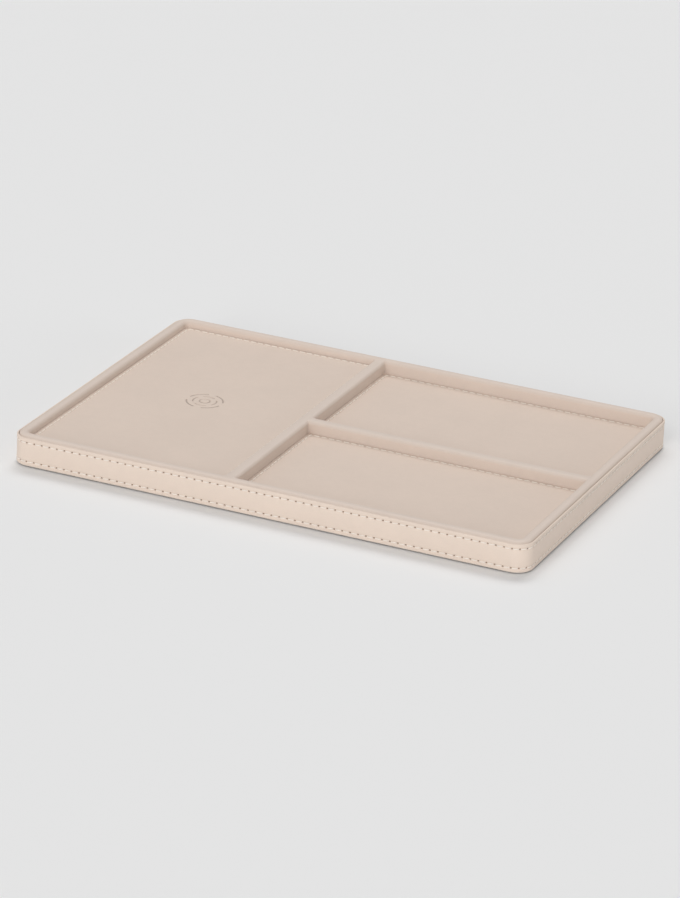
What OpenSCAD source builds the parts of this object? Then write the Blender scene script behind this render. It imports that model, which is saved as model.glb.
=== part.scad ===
// Leather-covered charging tray with three compartments.
// Origin: centre of the footprint, on the surface the tray rests on.
// +X runs to the tray's right, +Y to its back, +Z up. Millimetres.

/* [Body] */
// Overall width, left to right
body_w = 300; // [294:1:312]
// Overall depth, front to back
body_d = 210; // [205:1:220]
// Overall height, feet included
body_h = 17.8; // [17.8:0.1:19]
// Plan radius of the outer corners
corner_r = 10; // [9.5:0.5:12]

/* [Walls and dividers] */
// Thickness of the outer walls, leather included
wall_t = 7; // [7:0.5:9]
// Radius that the leather rolls over on the walls' top edges
rim_r = 2.2; // [1.8:0.1:2.8]
// Height of the rim above the band's top edge
seam_drop = 1.2; // [1:0.1:2]
// Thickness of the dividers, leather included
div_t = 7; // [6.6:0.1:8]
// Radius that the leather rolls over on the dividers' top edges
div_r = 1.8; // [1.5:0.1:2.6]
// Position of the long divider's middle, left of centre
long_x = -22.5; // [-26:0.5:-18]
// Position of the cross divider's middle, front to back
cross_y = -2; // [-12:0.1:12]
// Height of the rim above the long divider
div_drop = 0.4; // [0.3:0.1:1]

/* [Compartments] */
// Depth of the charging compartment below the rim
pad_depth = 4; // [3.8:0.1:4.6]
// Depth of the two right-hand compartments below the rim
tray_depth = 7.4; // [7.2:0.1:7.6]

/* [Leather and stitching] */
// Thickness of the outside band
band_t = 1.2; // [1.1:0.1:1.4]
// Thickness of the rim and floor leather
skin_t = 1.0; // [0.9:0.1:1.1]
// Radius of the sewing thread
thread_r = 0.3; // [0.25:0.05:0.3]
// Height of the band's upper stitch row
row_top_z = 14; // [13.6:0.1:14.6]
// Height of the band's lower stitch row
row_low_z = 3.2; // [3:0.1:3.6]
// Distance of the floor stitching from the walls
floor_row_in = 2.0; // [1.8:0.1:3]

/* [Feet and underside] */
// Radius of a foot pad
foot_r = 6; // [4:0.5:8]
// Thickness of a foot pad
foot_t = 0.8; // [0.8:0.1:1]
// Distance of a foot's middle from the two nearest sides
foot_in = 18; // [14:1:24]
// Thickness of the underside lining
lining_t = 0.6; // [0.5:0.1:0.6]

/* [Charger] */
// Width of the charger's case
case_w = 103; // [103:0.5:104]
// Depth of the charger's case
case_d = 73; // [73:0.5:74]
// Outer radius of the charging coil
coil_or = 22; // [20:0.5:23]
// Inner radius of the charging coil
coil_ir = 10.5; // [9:0.5:12]

/* [Hidden] */
$fn = 64;

leather = "#d8c7ba";
leather_floor = "#d3c2b5";
thread_col = "#e8dacd";
board_col = "#b08d62";
card_col = "#8f8577";
lining_col = "#b9aa9d";
silicone_col = "#cfc8c0";
case_col = "#e6e4df";
pcb_col = "#1f6b43";
chip_col = "#26272b";
copper_col = "#c07a45";
ferrite_col = "#4a4b50";
steel_col = "#b9bcc0";

// heights
z_band0 = foot_t;                        // underside of band and lining
z_base0 = foot_t + lining_t;             // underside of the base board
z_base1 = body_h - tray_depth - 2;       // top of the base board (card 1 + leather 1)
z_tray = body_h - tray_depth;            // floor of the right compartments
z_pad = body_h - pad_depth;              // floor of the charging compartment
z_seam = body_h - seam_drop;             // top edge of the band
core_w = wall_t - band_t - 2 * skin_t;   // thickness of the wall cores

// inner opening of the four walls
in_w = body_w - 2 * wall_t;
in_d = body_d - 2 * wall_t;
in_r = corner_r - wall_t;                // plan radius of the inner corners
floor_r = max(in_r - 0.15, 0.4);         // plan radius of the floor panels' corners

// compartments, [low x, high x] and [low y, high y]
gap = 0.15;                              // clearance round each floor panel
pad_x = [-in_w / 2 + gap, long_x - div_t / 2 - gap];
tray_x = [long_x + div_t / 2 + gap, in_w / 2 - gap];
full_y = [-in_d / 2 + gap, in_d / 2 - gap];
back_y = [cross_y + div_t / 2 + gap, in_d / 2 - gap];
front_y = [-in_d / 2 + gap, cross_y - div_t / 2 - gap];

// charger, centred under the charging compartment
cx = (pad_x[0] + pad_x[1]) / 2;
cy = 0;
pcb_post = [36, 21];                     // circuit board screws
lid_post = [46, 31];                     // lid screws
cover_post = [case_w / 2 + 2.6, case_d / 2 + 2.6]; // service cover screws
z_case0 = z_base0 + 1.3;                 // underside of the case
z_case1 = z_base1 - 0.1;                 // joint of case and lid
z_lid1 = z_pad - skin_t - 0.1;           // top of the lid
z_pcb = z_case0 + 2.5;                   // underside of the circuit board
pcb_t = 1.6;
z_coil = z_lid1 - 1.2;                   // top of the coil
z_port = z_pcb + pcb_t + 1.6;            // middle of the port

// ---- shapes ----------------------------------------------------------

// rectangle with round corners, centred
module rr(w, d, r) {
    square([w - 2 * r, d], center = true);
    square([w, d - 2 * r], center = true);
    for (sx = [-1, 1], sy = [-1, 1])
        translate([sx * (w / 2 - r), sy * (d / 2 - r)]) circle(r);
}

// slot shape with full round ends, centred
module slot2(w, h) {
    square([w - h, h], center = true);
    for (s = [-1, 1]) translate([s * (w - h) / 2, 0]) circle(h / 2);
}

// a bar standing on the plane with both top edges rounded
module crown2(w, h, r) {
    square([w, h - r]);
    translate([r, 0]) square([w - 2 * r, h]);
    for (u = [r, w - r]) translate([u, h - r]) circle(r);
}

// one straight side of a frame, profile at distance off from the middle
module side(len, off) {
    translate([off, len / 2, 0]) rotate([90, 0, 0])
        linear_extrude(len) children();
}

// sweeps a profile round an opening of w by d with corner radius r;
// the profile's first axis points outward from the opening's edge
module frame_sweep(w, d, r) {
    side(d - 2 * r, w / 2) children();
    rotate([0, 0, 180]) side(d - 2 * r, w / 2) children();
    rotate([0, 0, 90]) side(w - 2 * r, d / 2) children();
    rotate([0, 0, 270]) side(w - 2 * r, d / 2) children();
    for (q = [[1, 1, 0], [-1, 1, 90], [-1, -1, 180], [1, -1, 270]])
        translate([q[0] * (w / 2 - r), q[1] * (d / 2 - r), 0])
            rotate([0, 0, q[2]]) rotate_extrude(angle = 90)
                translate([r, 0]) children();
}

// the port's axis runs along +Y; shapes drawn as width by height
module port_prism(y0, y1) {
    translate([cx, y1, z_port]) rotate([90, 0, 0])
        linear_extrude(y1 - y0) children();
}

// ---- outside band ------------------------------------------------------

module band_profile() {
    h = z_seam - z_band0;
    e = 0.5;
    difference() {
        union() {
            square([band_t - e, h]);
            translate([0, e]) square([band_t, h - 2 * e]);
            for (v = [e, h - e]) translate([band_t - e, v]) circle(e);
        }
        for (z = [row_top_z, row_low_z])
            translate([band_t - 0.6, z - z_band0 - 0.4]) square([1, 0.8]);
    }
}

module outer_band() {
    color(leather) difference() {
        translate([0, 0, z_band0])
            frame_sweep(body_w - 2 * band_t, body_d - 2 * band_t, corner_r - band_t)
                band_profile();
        port_prism(body_d / 2 - 3, body_d / 2 + 1) slot2(13.2, 6.6);
    }
}

module band_row(z) {
    color(thread_col) translate([0, 0, z])
        frame_sweep(body_w - 2 * band_t, body_d - 2 * band_t, corner_r - band_t)
            translate([band_t - thread_r, 0]) circle(thread_r, $fn = 24);
}

module band_top_thread() band_row(row_top_z);
module band_bottom_thread() band_row(row_low_z);

// ---- walls -------------------------------------------------------------

// space that the wrapped walls fill, profile only
module rim_outer2() {
    translate([0, z_base1]) crown2(core_w + 2 * skin_t, body_h - z_base1, rim_r);
}
module rim_core2() {
    translate([skin_t, z_base1]) crown2(core_w, body_h - skin_t - z_base1, rim_r - skin_t);
}
module port_notch() {
    translate([cx - 5.5, body_d / 2 - wall_t - 0.5, z_base1 - 1])
        cube([11, wall_t - band_t + 1, z_port + 2.2 - z_base1 + 1]);
}

module rim_leather() {
    color(leather) difference() {
        frame_sweep(in_w, in_d, in_r) difference() {
            rim_outer2();
            translate([skin_t, z_base1 - 1]) square([core_w, 1.5]);
            rim_core2();
        }
        port_notch();
    }
}

module wall_cores() frame_sweep(in_w, in_d, in_r) rim_core2();

// part of the plan that one mitred side takes, given half length and half offset
module mitre_wedge(a, b) {
    translate([0, 0, z_base1 - 1]) linear_extrude(body_h)
        polygon([[b, -a], [b, a], [b - 20, a - 20], [b - 20, -a + 20]]);
}

module rail(turn, a, b) {
    color(board_col) intersection() {
        wall_cores();
        rotate([0, 0, turn]) mitre_wedge(a, b);
    }
}

module right_rail() rail(0, body_d / 2, body_w / 2);
module left_rail() rail(180, body_d / 2, body_w / 2);
module front_rail() rail(270, body_w / 2, body_d / 2);
module back_rail() difference() {
    rail(90, body_w / 2, body_d / 2);
    port_notch();
}

// ---- dividers ----------------------------------------------------------

long_h = body_h - div_drop - z_base1;
cross_h = long_h - 0.3;
core_gap = div_t - 2 * skin_t;

module long_bar(len, w, h, r) {
    translate([long_x - w / 2, len / 2, z_base1]) rotate([90, 0, 0])
        linear_extrude(len) crown2(w, h, r);
}
module cross_bar(x0, x1, w, h, r) {
    translate([x0, cross_y - w / 2, z_base1]) rotate([90, 0, 90])
        linear_extrude(x1 - x0) crown2(w, h, r);
}

module long_divider_core() {
    color(board_col) long_bar(in_d - 0.1, core_gap, long_h - skin_t, div_r - skin_t);
}
module cross_divider_core() {
    color(board_col) cross_bar(long_x + div_t / 2 + 0.05, in_w / 2 - 0.05,
                               core_gap, cross_h - skin_t, div_r - skin_t);
}

// the divider's leather is coped over the rolled top of what it meets
module rim_solid() {
    frame_sweep(in_w, in_d, in_r) rim_outer2();
}
module long_divider_leather() {
    color(leather) difference() {
        long_bar(in_d + 2 * rim_r, div_t, long_h, div_r);
        translate([0, 0, -1]) long_bar(in_d + 20, core_gap, 3, 1);
        long_bar(in_d + 20, core_gap, long_h - skin_t, div_r - skin_t);
        rim_solid();
    }
}
module cross_divider_leather() {
    color(leather) difference() {
        cross_bar(long_x, in_w / 2 + rim_r, div_t, cross_h, div_r);
        translate([0, 0, -1]) cross_bar(long_x - 5, in_w / 2 + 10, core_gap, 3, 1);
        cross_bar(long_x - 5, in_w / 2 + 10, core_gap, cross_h - skin_t, div_r - skin_t);
        long_bar(in_d, div_t, long_h, div_r);
        rim_solid();
    }
}

// ---- compartment floors ------------------------------------------------

module panel(xr, yr, z0, z1, inset, r) {
    translate([(xr[0] + xr[1]) / 2, (yr[0] + yr[1]) / 2, z0])
        linear_extrude(z1 - z0)
            rr(xr[1] - xr[0] - 2 * inset, yr[1] - yr[0] - 2 * inset, r);
}

// groove of the perimeter stitching, cut 0.6 deep into a floor
module row_groove(xr, yr, z) {
    difference() {
        panel(xr, yr, z - 0.6, z + 1, floor_row_in - 0.4, 2.4);
        panel(xr, yr, z - 1, z + 2, floor_row_in + 0.4, 1.6);
    }
}
module floor_leather(xr, yr, z) {
    color(leather_floor) difference() {
        panel(xr, yr, z - skin_t, z, 0, floor_r);
        row_groove(xr, yr, z);
    }
}
module floor_thread(xr, yr, z) {
    w = xr[1] - xr[0] - 2 * floor_row_in;
    d = yr[1] - yr[0] - 2 * floor_row_in;
    color(thread_col)
        translate([(xr[0] + xr[1]) / 2, (yr[0] + yr[1]) / 2, z - thread_r])
            frame_sweep(w, d, 2) circle(thread_r, $fn = 24);
}

// pressed mark: two broken rings round a small whole one
module pad_mark() {
    translate([cx, cy, z_pad - 0.25]) {
        for (k = [0:3]) rotate([0, 0, k * 90 + 12]) {
            rotate_extrude(angle = 66) translate([9.8, 0]) square([0.7, 1]);
            rotate([0, 0, 45]) rotate_extrude(angle = 66) translate([6.3, 0]) square([0.7, 1]);
        }
        rotate_extrude() translate([2.6, 0]) square([0.7, 1]);
    }
}

module pad_leather() {
    color(leather_floor) difference() {
        floor_leather(pad_x, full_y, z_pad);
        pad_mark();
    }
}
module back_tray_leather() floor_leather(tray_x, back_y, z_tray);
module front_tray_leather() floor_leather(tray_x, front_y, z_tray);
module pad_thread() floor_thread(pad_x, full_y, z_pad);
module back_tray_thread() floor_thread(tray_x, back_y, z_tray);
module front_tray_thread() floor_thread(tray_x, front_y, z_tray);

module pad_board() {
    color(board_col) difference() {
        panel(pad_x, full_y, z_base1, z_pad - skin_t, 0.1, floor_r);
        translate([cx, cy, z_base1 - 1]) linear_extrude(10) rr(case_w + 0.6, case_d + 0.6, 3.3);
    }
}
module tray_board(yr) {
    color(card_col) panel(tray_x, yr, z_base1, z_tray - skin_t, 0.1, floor_r);
}
module back_tray_board() tray_board(back_y);
module front_tray_board() tray_board(front_y);

// ---- base --------------------------------------------------------------

module corners4(p) {
    for (sx = [-1, 1], sy = [-1, 1])
        translate([cx + sx * p[0], cy + sy * p[1], 0]) children();
}

module base_board() {
    w = body_w - 2 * band_t;
    d = body_d - 2 * band_t;
    color(board_col) difference() {
        translate([0, 0, z_base0]) linear_extrude(z_base1 - z_base0)
            rr(w, d, corner_r - band_t);
        // pocket of the charger, right through
        translate([cx, cy, z_base0 - 1]) linear_extrude(20) rr(case_w + 1, case_d + 1, 3.5);
        // rebate of the service cover
        translate([cx, cy, z_base0 - 1]) linear_extrude(2.25) rr(case_w + 11, case_d + 11, 3.2);
        // channel of the power lead
        translate([cx - 2.5, cy + case_d / 2 - 1, z_pcb + pcb_t - 0.4])
            cube([5, d / 2 - case_d / 2 - 10, 5]);
        // pocket of the port board, open at the back
        translate([cx - 8.5, d / 2 - 15.5, z_pcb + 0.6]) cube([17, 20, 10]);
        // pilot holes of the service cover's screws
        corners4(cover_post) translate([0, 0, z_base0]) cylinder(r = 0.95, h = 5.2, $fn = 24);
    }
}

module service_cover() {
    color(case_col) difference() {
        translate([cx, cy, z_base0]) linear_extrude(1.2) rr(case_w + 10.6, case_d + 10.6, 3);
        corners4(cover_post) {
            translate([0, 0, z_base0 - 0.01]) cylinder(r1 = 1.95, r2 = 1.0, h = 0.96, $fn = 32);
            translate([0, 0, z_base0 - 1]) cylinder(r = 1.05, h = 4, $fn = 24);
        }
    }
}
module cover_screws() {
    color(steel_col) corners4(cover_post) translate([0, 0, z_base0]) {
        cylinder(r1 = 1.88, r2 = 0.9, h = 0.98, $fn = 32);
        cylinder(r = 0.9, h = 5, $fn = 24);
    }
}

module underside_lining() {
    color(lining_col) translate([0, 0, z_band0]) linear_extrude(lining_t)
        rr(body_w - 2 * band_t - 0.4, body_d - 2 * band_t - 0.4, corner_r - band_t - 0.2);
}

module feet() {
    color(silicone_col)
        for (sx = [-1, 1], sy = [-1, 1])
            translate([sx * (body_w / 2 - foot_in), sy * (body_d / 2 - foot_in), 0])
                rotate_extrude() polygon([[0, 0], [foot_r - 0.3, 0], [foot_r, 0.3],
                                          [foot_r, foot_t], [0, foot_t]]);
}

// ---- charger -----------------------------------------------------------

module charger_case() {
    color(case_col) difference() {
        union() {
            difference() {
                translate([cx, cy, z_case0]) linear_extrude(z_case1 - z_case0) rr(case_w, case_d, 3);
                translate([cx, cy, z_case0 + 1.5]) linear_extrude(20) rr(case_w - 3.2, case_d - 3.2, 1.4);
            }
            corners4(pcb_post) translate([0, 0, z_case0 + 1]) cylinder(r = 2.5, h = z_pcb - z_case0 - 1);
            corners4(lid_post) translate([0, 0, z_case0 + 1]) cylinder(r = 3, h = z_case1 - z_case0 - 1);
        }
        corners4(pcb_post) translate([0, 0, z_case0 + 0.6]) cylinder(r = 0.85, h = 10, $fn = 24);
        corners4(lid_post) {
            translate([0, 0, z_case0 - 1]) cylinder(r = 1.1, h = 20, $fn = 24);
            translate([0, 0, z_case0 - 1]) cylinder(r = 2.3, h = 2.3, $fn = 32);
        }
        // slot for the power lead
        translate([cx - 2.5, cy + case_d / 2 - 3, z_pcb + pcb_t - 0.2]) cube([5, 6, 10]);
    }
}

module charger_lid() {
    color(case_col) difference() {
        union() {
            difference() {
                translate([cx, cy, z_case1]) linear_extrude(z_lid1 - z_case1) rr(case_w, case_d, 3);
                translate([cx, cy, z_case1 - 1]) linear_extrude(z_coil - z_case1 + 1) rr(case_w - 3.2, case_d - 3.2, 1.4);
            }
            corners4(lid_post) translate([0, 0, z_case1]) cylinder(r = 3, h = z_coil + 0.3 - z_case1);
        }
        corners4(lid_post) translate([0, 0, z_case1 - 1]) cylinder(r = 1.0, h = z_coil - z_case1 + 0.5, $fn = 24);
    }
}

module charging_coil() {
    color(copper_col) {
        translate([cx, cy, z_coil - 1]) rotate_extrude()
            translate([coil_ir, 0]) square([coil_or - coil_ir, 1]);
        // two ends of the winding, out past the ferrite and down to the board
        for (s = [-1, 1]) translate([cx, cy + s * 3, 0]) {
            translate([coil_or - 1.5, 0, z_coil - 0.5]) rotate([0, 90, 0]) cylinder(r = 0.45, h = 27.5 - coil_or, $fn = 24);
            translate([26, 0, z_pcb + pcb_t]) cylinder(r = 0.45, h = z_coil - 0.5 - z_pcb - pcb_t, $fn = 24);
        }
    }
}

module coil_ferrite() {
    color(ferrite_col) translate([cx, cy, z_coil - 2]) linear_extrude(1) rr(49, 49, 1.5);
}

module charger_pcb() {
    color(pcb_col) difference() {
        translate([cx, cy, z_pcb]) linear_extrude(pcb_t) rr(82, 52, 2);
        corners4(pcb_post) translate([0, 0, z_pcb - 1]) cylinder(r = 1.1, h = 4, $fn = 24);
    }
}

// small rectangular component with its underside on the circuit board
module chip(x, y, w, d, h) {
    translate([cx + x - w / 2, cy + y - d / 2, z_pcb + pcb_t]) cube([w, d, h]);
}
module controller_chip() {
    color(chip_col) chip(-12, 8, 7, 7, 0.9);
}
module bridge_transistors() {
    color(chip_col) for (x = [4, 12], y = [4, 12]) chip(x, y, 5, 6, 1.0);
}
module resonant_capacitors() {
    color("#b5a184") for (x = [-18, -12, -6, 0]) chip(x, -12, 3.2, 4.5, 1.8);
}
module thermal_pad() {
    color("#9fb4c8") translate([cx + 8 - 12, cy + 8 - 9, z_case0 + 1.5])
        cube([24, 18, z_pcb - z_case0 - 1.5]);
}
module pcb_screws() {
    color(steel_col) corners4(pcb_post) {
        translate([0, 0, z_pcb + pcb_t]) cylinder(r = 1.8, h = 1.3, $fn = 32);
        translate([0, 0, z_case0 + 0.8]) cylinder(r = 0.8, h = z_pcb + pcb_t - z_case0, $fn = 24);
    }
}
module lid_screws() {
    color(steel_col) corners4(lid_post) {
        translate([0, 0, z_case0]) cylinder(r = 2.1, h = 1.2, $fn = 32);
        translate([0, 0, z_case0]) cylinder(r = 0.95, h = z_coil - z_case0 - 1, $fn = 24);
    }
}

// ---- power inlet -------------------------------------------------------

module power_lead() {
    y0 = cy + 23;
    y1 = body_d / 2 - band_t - 10;
    color("#33363c") for (s = [-1, 1])
        translate([cx + s * 1.0, y1, z_pcb + pcb_t + 0.6]) rotate([90, 0, 0])
            cylinder(r = 0.6, h = y1 - y0, $fn = 24);
}
module port_board() {
    color(pcb_col) translate([cx - 8, body_d / 2 - band_t - 14.8, z_pcb + 0.6])
        cube([16, 14, 1]);
}
module usb_c_shell() {
    color(steel_col) difference() {
        port_prism(body_d / 2 - 7.3, body_d / 2 - 0.4) slot2(8.94, 3.2);
        port_prism(body_d / 2 - 6.4, body_d / 2 + 1) slot2(8.34, 2.6);
    }
}
module usb_c_tongue() {
    color(chip_col) port_prism(body_d / 2 - 6.4, body_d / 2 - 1.4) square([6.7, 0.7], center = true);
}
module port_bezel() {
    color(lining_col) difference() {
        port_prism(body_d / 2 - band_t, body_d / 2) slot2(13, 6.4);
        port_prism(body_d / 2 - 3, body_d / 2 + 1) slot2(9.3, 3.6);
    }
}

// ---- nodes -------------------------------------------------------------

outer_band();
band_top_thread();
band_bottom_thread();
rim_leather();
long_divider_leather();
cross_divider_leather();
pad_leather();
back_tray_leather();
front_tray_leather();
pad_thread();
back_tray_thread();
front_tray_thread();
base_board();
left_rail();
right_rail();
front_rail();
back_rail();
long_divider_core();
cross_divider_core();
pad_board();
back_tray_board();
front_tray_board();
underside_lining();
feet();
charger_case();
charger_lid();
charging_coil();
coil_ferrite();
charger_pcb();
controller_chip();
bridge_transistors();
resonant_capacitors();
thermal_pad();
pcb_screws();
lid_screws();
power_lead();
port_board();
usb_c_shell();
usb_c_tongue();
port_bezel();
service_cover();
cover_screws();
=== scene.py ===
import math

import bpy
import bmesh
import numpy as np
from mathutils import Matrix, Vector
from mathutils.geometry import delaunay_2d_cdt


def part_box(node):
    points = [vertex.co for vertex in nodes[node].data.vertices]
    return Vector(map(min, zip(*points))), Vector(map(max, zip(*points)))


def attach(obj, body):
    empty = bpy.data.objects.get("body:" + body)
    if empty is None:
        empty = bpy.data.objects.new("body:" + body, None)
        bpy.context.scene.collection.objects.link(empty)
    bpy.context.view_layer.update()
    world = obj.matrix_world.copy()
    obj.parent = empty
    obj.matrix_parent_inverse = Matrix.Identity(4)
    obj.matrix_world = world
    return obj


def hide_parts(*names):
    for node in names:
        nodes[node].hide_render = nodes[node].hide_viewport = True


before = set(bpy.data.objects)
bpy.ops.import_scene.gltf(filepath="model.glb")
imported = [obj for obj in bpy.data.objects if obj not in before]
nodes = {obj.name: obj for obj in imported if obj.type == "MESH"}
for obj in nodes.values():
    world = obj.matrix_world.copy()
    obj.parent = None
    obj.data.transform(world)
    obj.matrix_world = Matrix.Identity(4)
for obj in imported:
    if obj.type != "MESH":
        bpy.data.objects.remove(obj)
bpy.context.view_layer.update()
scene = bpy.context.scene
MM = 0.001

# ---------------------------------------------------------------- sizes (mm)
W, D = 300.0, 210.0            # footprint
R = 10.0                       # outer corner radius
TOP = 17.8                     # crown of the rim
SEAM = 16.6                    # top edge of the band
Z0 = 0.8                       # underside of the band
BAND_T, WALL = 1.2, 7.0
ROW_TOP, ROW_LOW = 14.0, 3.2
PAD_Z, TRAY_Z = 13.8, 10.4
LONG_X, CROSS_Y, DIV = -22.5, -2.0, 7.0
IN_X, IN_Y = W / 2 - WALL, D / 2 - WALL
PORT_X, PORT_Z = -84.5, 8.4
GAP = 0.15
PITCH = 4.532

nlo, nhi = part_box("pad_leather")
PAD_X = (nlo.x / MM, nhi.x / MM)
PAD_Y = (nlo.y / MM, nhi.y / MM)
PAD_Z = nhi.z / MM
nlo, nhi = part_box("back_tray_leather")
BACK_X, BACK_Y, TRAY_Z = (nlo.x / MM, nhi.x / MM), (nlo.y / MM, nhi.y / MM), nhi.z / MM
nlo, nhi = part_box("front_tray_leather")
FRONT_X, FRONT_Y = (nlo.x / MM, nhi.x / MM), (nlo.y / MM, nhi.y / MM)
nlo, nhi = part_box("port_bezel")
PORT_X, PORT_Z = (nlo.x + nhi.x) / 2 / MM, (nlo.z + nhi.z) / 2 / MM
MARK_X = (PAD_X[0] + PAD_X[1]) / 2


# ---------------------------------------------------------------- materials
def lin(r, g, b):
    """0-255 display values to linear."""
    def f(c):
        c /= 255.0
        return c / 12.92 if c <= 0.04045 else ((c + 0.055) / 1.055) ** 2.4
    return (f(r), f(g), f(b), 1.0)


class Nodes:
    def __init__(self, name):
        self.m = bpy.data.materials.new(name)
        self.m.use_nodes = True
        self.t = self.m.node_tree
        self.b = self.t.nodes["Principled BSDF"]

    def add(self, kind, **values):
        n = self.t.nodes.new(kind)
        for k, v in values.items():
            setattr(n, k, v)
        return n

    def link(self, a, b):
        self.t.links.new(a, b)

    def math(self, op, a, b=None, c=None, clamp=False):
        n = self.add("ShaderNodeMath", operation=op, use_clamp=clamp)
        for i, v in enumerate((a, b, c)):
            if v is None:
                continue
            if isinstance(v, (int, float)):
                n.inputs[i].default_value = v
            else:
                self.link(v, n.inputs[i])
        return n.outputs[0]

    def noise(self, coord, scale, detail=2.0, rough=0.5, dist=0.0):
        n = self.add("ShaderNodeTexNoise")
        n.inputs["Scale"].default_value = scale
        n.inputs["Detail"].default_value = detail
        n.inputs["Roughness"].default_value = rough
        n.inputs["Distortion"].default_value = dist
        self.link(coord, n.inputs["Vector"])
        return n.outputs["Fac"]

    def mix(self, fac, a, b):
        n = self.add("ShaderNodeMix", data_type="RGBA")
        if isinstance(fac, (int, float)):
            n.inputs["Factor"].default_value = fac
        else:
            self.link(fac, n.inputs["Factor"])
        for sock, v in ((n.inputs["A"], a), (n.inputs["B"], b)):
            pass
        ins = [s for s in n.inputs if s.type == "RGBA"]
        for sock, v in zip(ins, (a, b)):
            if isinstance(v, tuple):
                sock.default_value = v
            else:
                self.link(v, sock)
        return [s for s in n.outputs if s.type == "RGBA"][0]

    def ramp(self, value, lo, hi, a=0.0, b=1.0):
        n = self.add("ShaderNodeMapRange", interpolation_type="SMOOTHSTEP")
        self.link(value, n.inputs["Value"])
        n.inputs["From Min"].default_value = lo
        n.inputs["From Max"].default_value = hi
        n.inputs["To Min"].default_value = a
        n.inputs["To Max"].default_value = b
        return n.outputs["Result"]

    def bump(self, height, strength, distance, normal=None):
        n = self.add("ShaderNodeBump")
        n.inputs["Strength"].default_value = strength
        n.inputs["Distance"].default_value = distance
        self.link(height, n.inputs["Height"])
        if normal is not None:
            self.link(normal, n.inputs["Normal"])
        return n.outputs["Normal"]

    def coords(self, which="Object"):
        return self.add("ShaderNodeTexCoord").outputs[which]


def shade(c, k):
    return tuple(min(1.0, v * k) for v in c[:3]) + (1.0,)


def leather(name, base, rough=0.52, grain=1.0):
    """Smooth finished hide: fine pebble grain, faint pores, slow variation in colour and gloss."""
    n = Nodes(name)
    co = n.coords()
    slow = n.noise(co, 38.0, 3.0, 0.55)
    mid = n.noise(co, 260.0, 2.0, 0.5)
    f1 = n.ramp(slow, 0.32, 0.68)
    c1 = n.mix(f1, shade(base, 0.975), shade(base, 1.02))
    f2 = n.ramp(mid, 0.3, 0.7)
    c2 = n.mix(f2, shade(base, 0.985), shade(base, 1.01))
    both = n.add("ShaderNodeMix", data_type="RGBA", blend_type="MIX")
    both.inputs["Factor"].default_value = 0.5
    ins = [s for s in both.inputs if s.type == "RGBA"]
    n.link(c1, ins[0])
    n.link(c2, ins[1])
    colour = [s for s in both.outputs if s.type == "RGBA"][0]
    vor = n.add("ShaderNodeTexVoronoi", feature="DISTANCE_TO_EDGE")
    vor.inputs["Scale"].default_value = 1150.0
    vor.inputs["Randomness"].default_value = 0.95
    warp = n.noise(co, 700.0, 2.0, 0.6)
    wv = n.add("ShaderNodeVectorMath", operation="ADD")
    ws = n.add("ShaderNodeVectorMath", operation="SCALE")
    wn = n.add("ShaderNodeTexNoise")
    wn.inputs["Scale"].default_value = 600.0
    n.link(co, wn.inputs["Vector"])
    n.link(wn.outputs["Color"], ws.inputs[0])
    ws.inputs["Scale"].default_value = 0.0006
    n.link(co, wv.inputs[0])
    n.link(ws.outputs["Vector"], wv.inputs[1])
    n.link(wv.outputs["Vector"], vor.inputs["Vector"])
    cells = n.ramp(vor.outputs["Distance"], 0.0, 0.16)
    pores = n.ramp(n.noise(co, 2600.0, 1.0, 0.5), 0.36, 0.5)
    h1 = n.math("MULTIPLY", cells, 0.65)
    h2 = n.math("MULTIPLY_ADD", pores, 0.2, h1)
    h3 = n.math("MULTIPLY_ADD", warp, 0.25, h2)
    normal = n.bump(h3, 0.32 * grain, 0.00006)
    wave = n.bump(slow, 0.18, 0.0012, normal)
    n.link(wave, n.b.inputs["Normal"])
    dark = n.mix(n.math("MULTIPLY", n.math("SUBTRACT", 1.0, cells), 0.06), colour, shade(base, 0.7))
    n.link(dark, n.b.inputs["Base Color"])
    r = n.math("MULTIPLY_ADD", slow, 0.12, rough - 0.06)
    r2 = n.math("MULTIPLY_ADD", n.math("SUBTRACT", 1.0, cells), 0.08, r)
    n.link(r2, n.b.inputs["Roughness"])
    n.b.inputs["Specular IOR Level"].default_value = 0.32
    n.b.inputs["Sheen Weight"].default_value = 0.05
    n.b.inputs["Sheen Roughness"].default_value = 0.5
    return n.m


def thread_material(name, base):
    """Waxed three-ply thread: spiral lay along the stitch, matt with a little sheen."""
    n = Nodes(name)
    uv = n.coords("UV")
    sep = n.add("ShaderNodeSeparateXYZ")
    n.link(uv, sep.inputs[0])
    ph = n.math("MULTIPLY_ADD", sep.outputs["X"], 5.2, n.math("MULTIPLY", sep.outputs["Y"], 3.0))
    w = n.math("SINE", n.math("MULTIPLY", ph, 2 * math.pi))
    ply = n.math("MULTIPLY_ADD", w, 0.5, 0.5)
    fibres = n.noise(n.coords(), 5200.0, 2.0, 0.6)
    h = n.math("MULTIPLY_ADD", fibres, 0.25, ply)
    n.link(n.bump(h, 0.55, 0.00008), n.b.inputs["Normal"])
    c = n.mix(ply, shade(base, 0.86), shade(base, 1.03))
    n.link(c, n.b.inputs["Base Color"])
    n.link(n.math("MULTIPLY_ADD", fibres, 0.15, 0.55), n.b.inputs["Roughness"])
    n.b.inputs["Sheen Weight"].default_value = 0.15
    n.b.inputs["Sheen Roughness"].default_value = 0.4
    n.b.inputs["Specular IOR Level"].default_value = 0.35
    return n.m


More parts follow.
